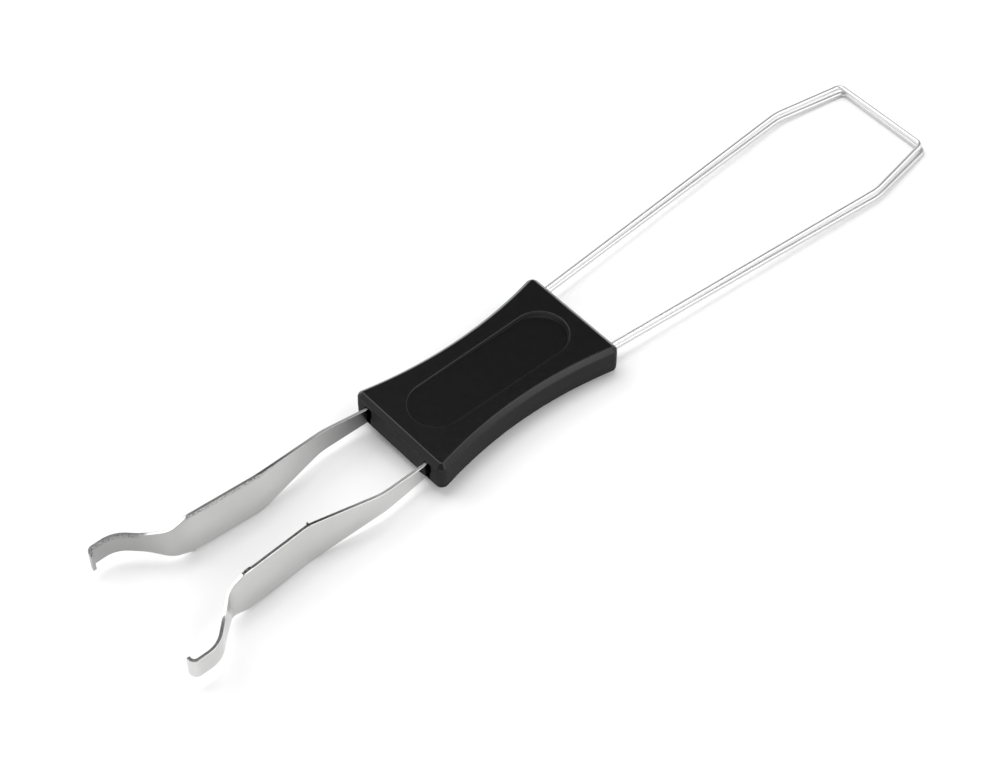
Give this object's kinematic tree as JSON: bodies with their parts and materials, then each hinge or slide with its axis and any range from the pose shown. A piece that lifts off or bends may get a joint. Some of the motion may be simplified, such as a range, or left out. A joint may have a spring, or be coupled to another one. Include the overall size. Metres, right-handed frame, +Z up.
{
  "type": "keycap puller",
  "caption": "Keycap puller with a waisted plastic handle and thumb recess, sprung steel claws at one end and stacked, square-ended wire loops at the other.",
  "frame": {"origin": "middle of the overall box, on the floor that the puller lies on", "axes": "+X along the handle towards the wire loops, +Y across the handle, +Z up from the floor"},
  "size_m": [0.1612, 0.0276, 0.0093],
  "materials": {
    "handle_plastic": "satin",
    "claw_steel": "satin nickel",
    "wire_steel": "bright"
  },
  "bodies": {
    "root": {"handle_upper_half": "handle_plastic", "handle_lower_half": "handle_plastic", "claw_spring": "claw_steel", "upper_wire_loop": "wire_steel", "lower_wire_loop": "wire_steel"}
  },
  "joints": []
}
